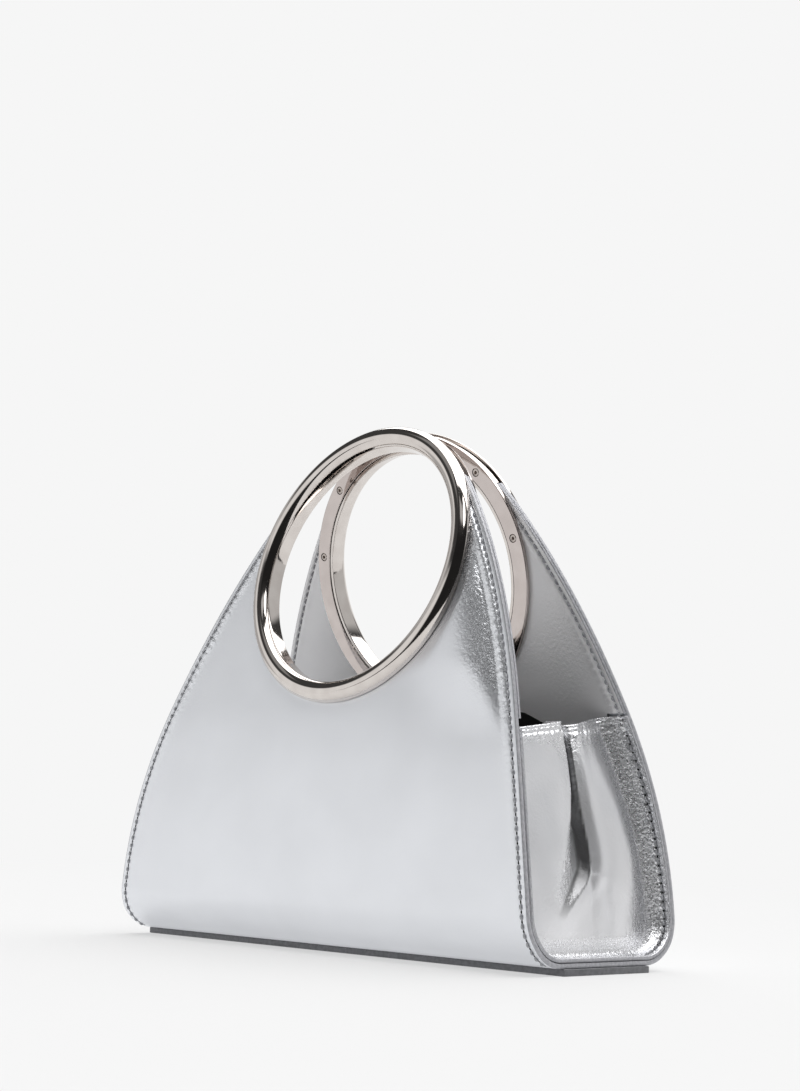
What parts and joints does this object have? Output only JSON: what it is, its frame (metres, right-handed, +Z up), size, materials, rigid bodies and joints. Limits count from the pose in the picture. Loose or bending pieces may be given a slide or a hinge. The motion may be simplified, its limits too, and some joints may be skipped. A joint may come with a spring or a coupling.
{
  "type": "ring handle bag",
  "caption": "Small metallic leather handbag with leaning panels, pleated side gussets and round metal ring handles.",
  "frame": {"origin": "middle of the base plate's underside, where the bag stands", "axes": "+X along the bag's length, +Z up, -Y toward the front panel"},
  "size_m": [0.204, 0.0746, 0.1862],
  "materials": {
    "silver_leather": "smooth metallic foil",
    "inside_leather": "smooth metallic",
    "plate_leather": "painted edge",
    "black_lining": "matte",
    "ring_metal": "polished nickel"
  },
  "bodies": {
    "root": {"base_plate": "plate_leather", "body_wrap": "silver_leather", "facing_front": "inside_leather", "facing_back": "inside_leather", "lining": "black_lining", "gusset_left": "silver_leather", "gusset_right": "silver_leather", "ring_shell_front": "ring_metal", "ring_shell_back": "ring_metal", "ring_plate_front": "ring_metal", "ring_plate_back": "ring_metal", "ring_screw_front_1": "ring_metal", "ring_screw_front_2": "ring_metal", "ring_screw_front_3": "ring_metal", "ring_screw_front_4": "ring_metal", "ring_screw_back_1": "ring_metal", "ring_screw_back_2": "ring_metal", "ring_screw_back_3": "ring_metal", "ring_screw_back_4": "ring_metal"}
  },
  "joints": []
}
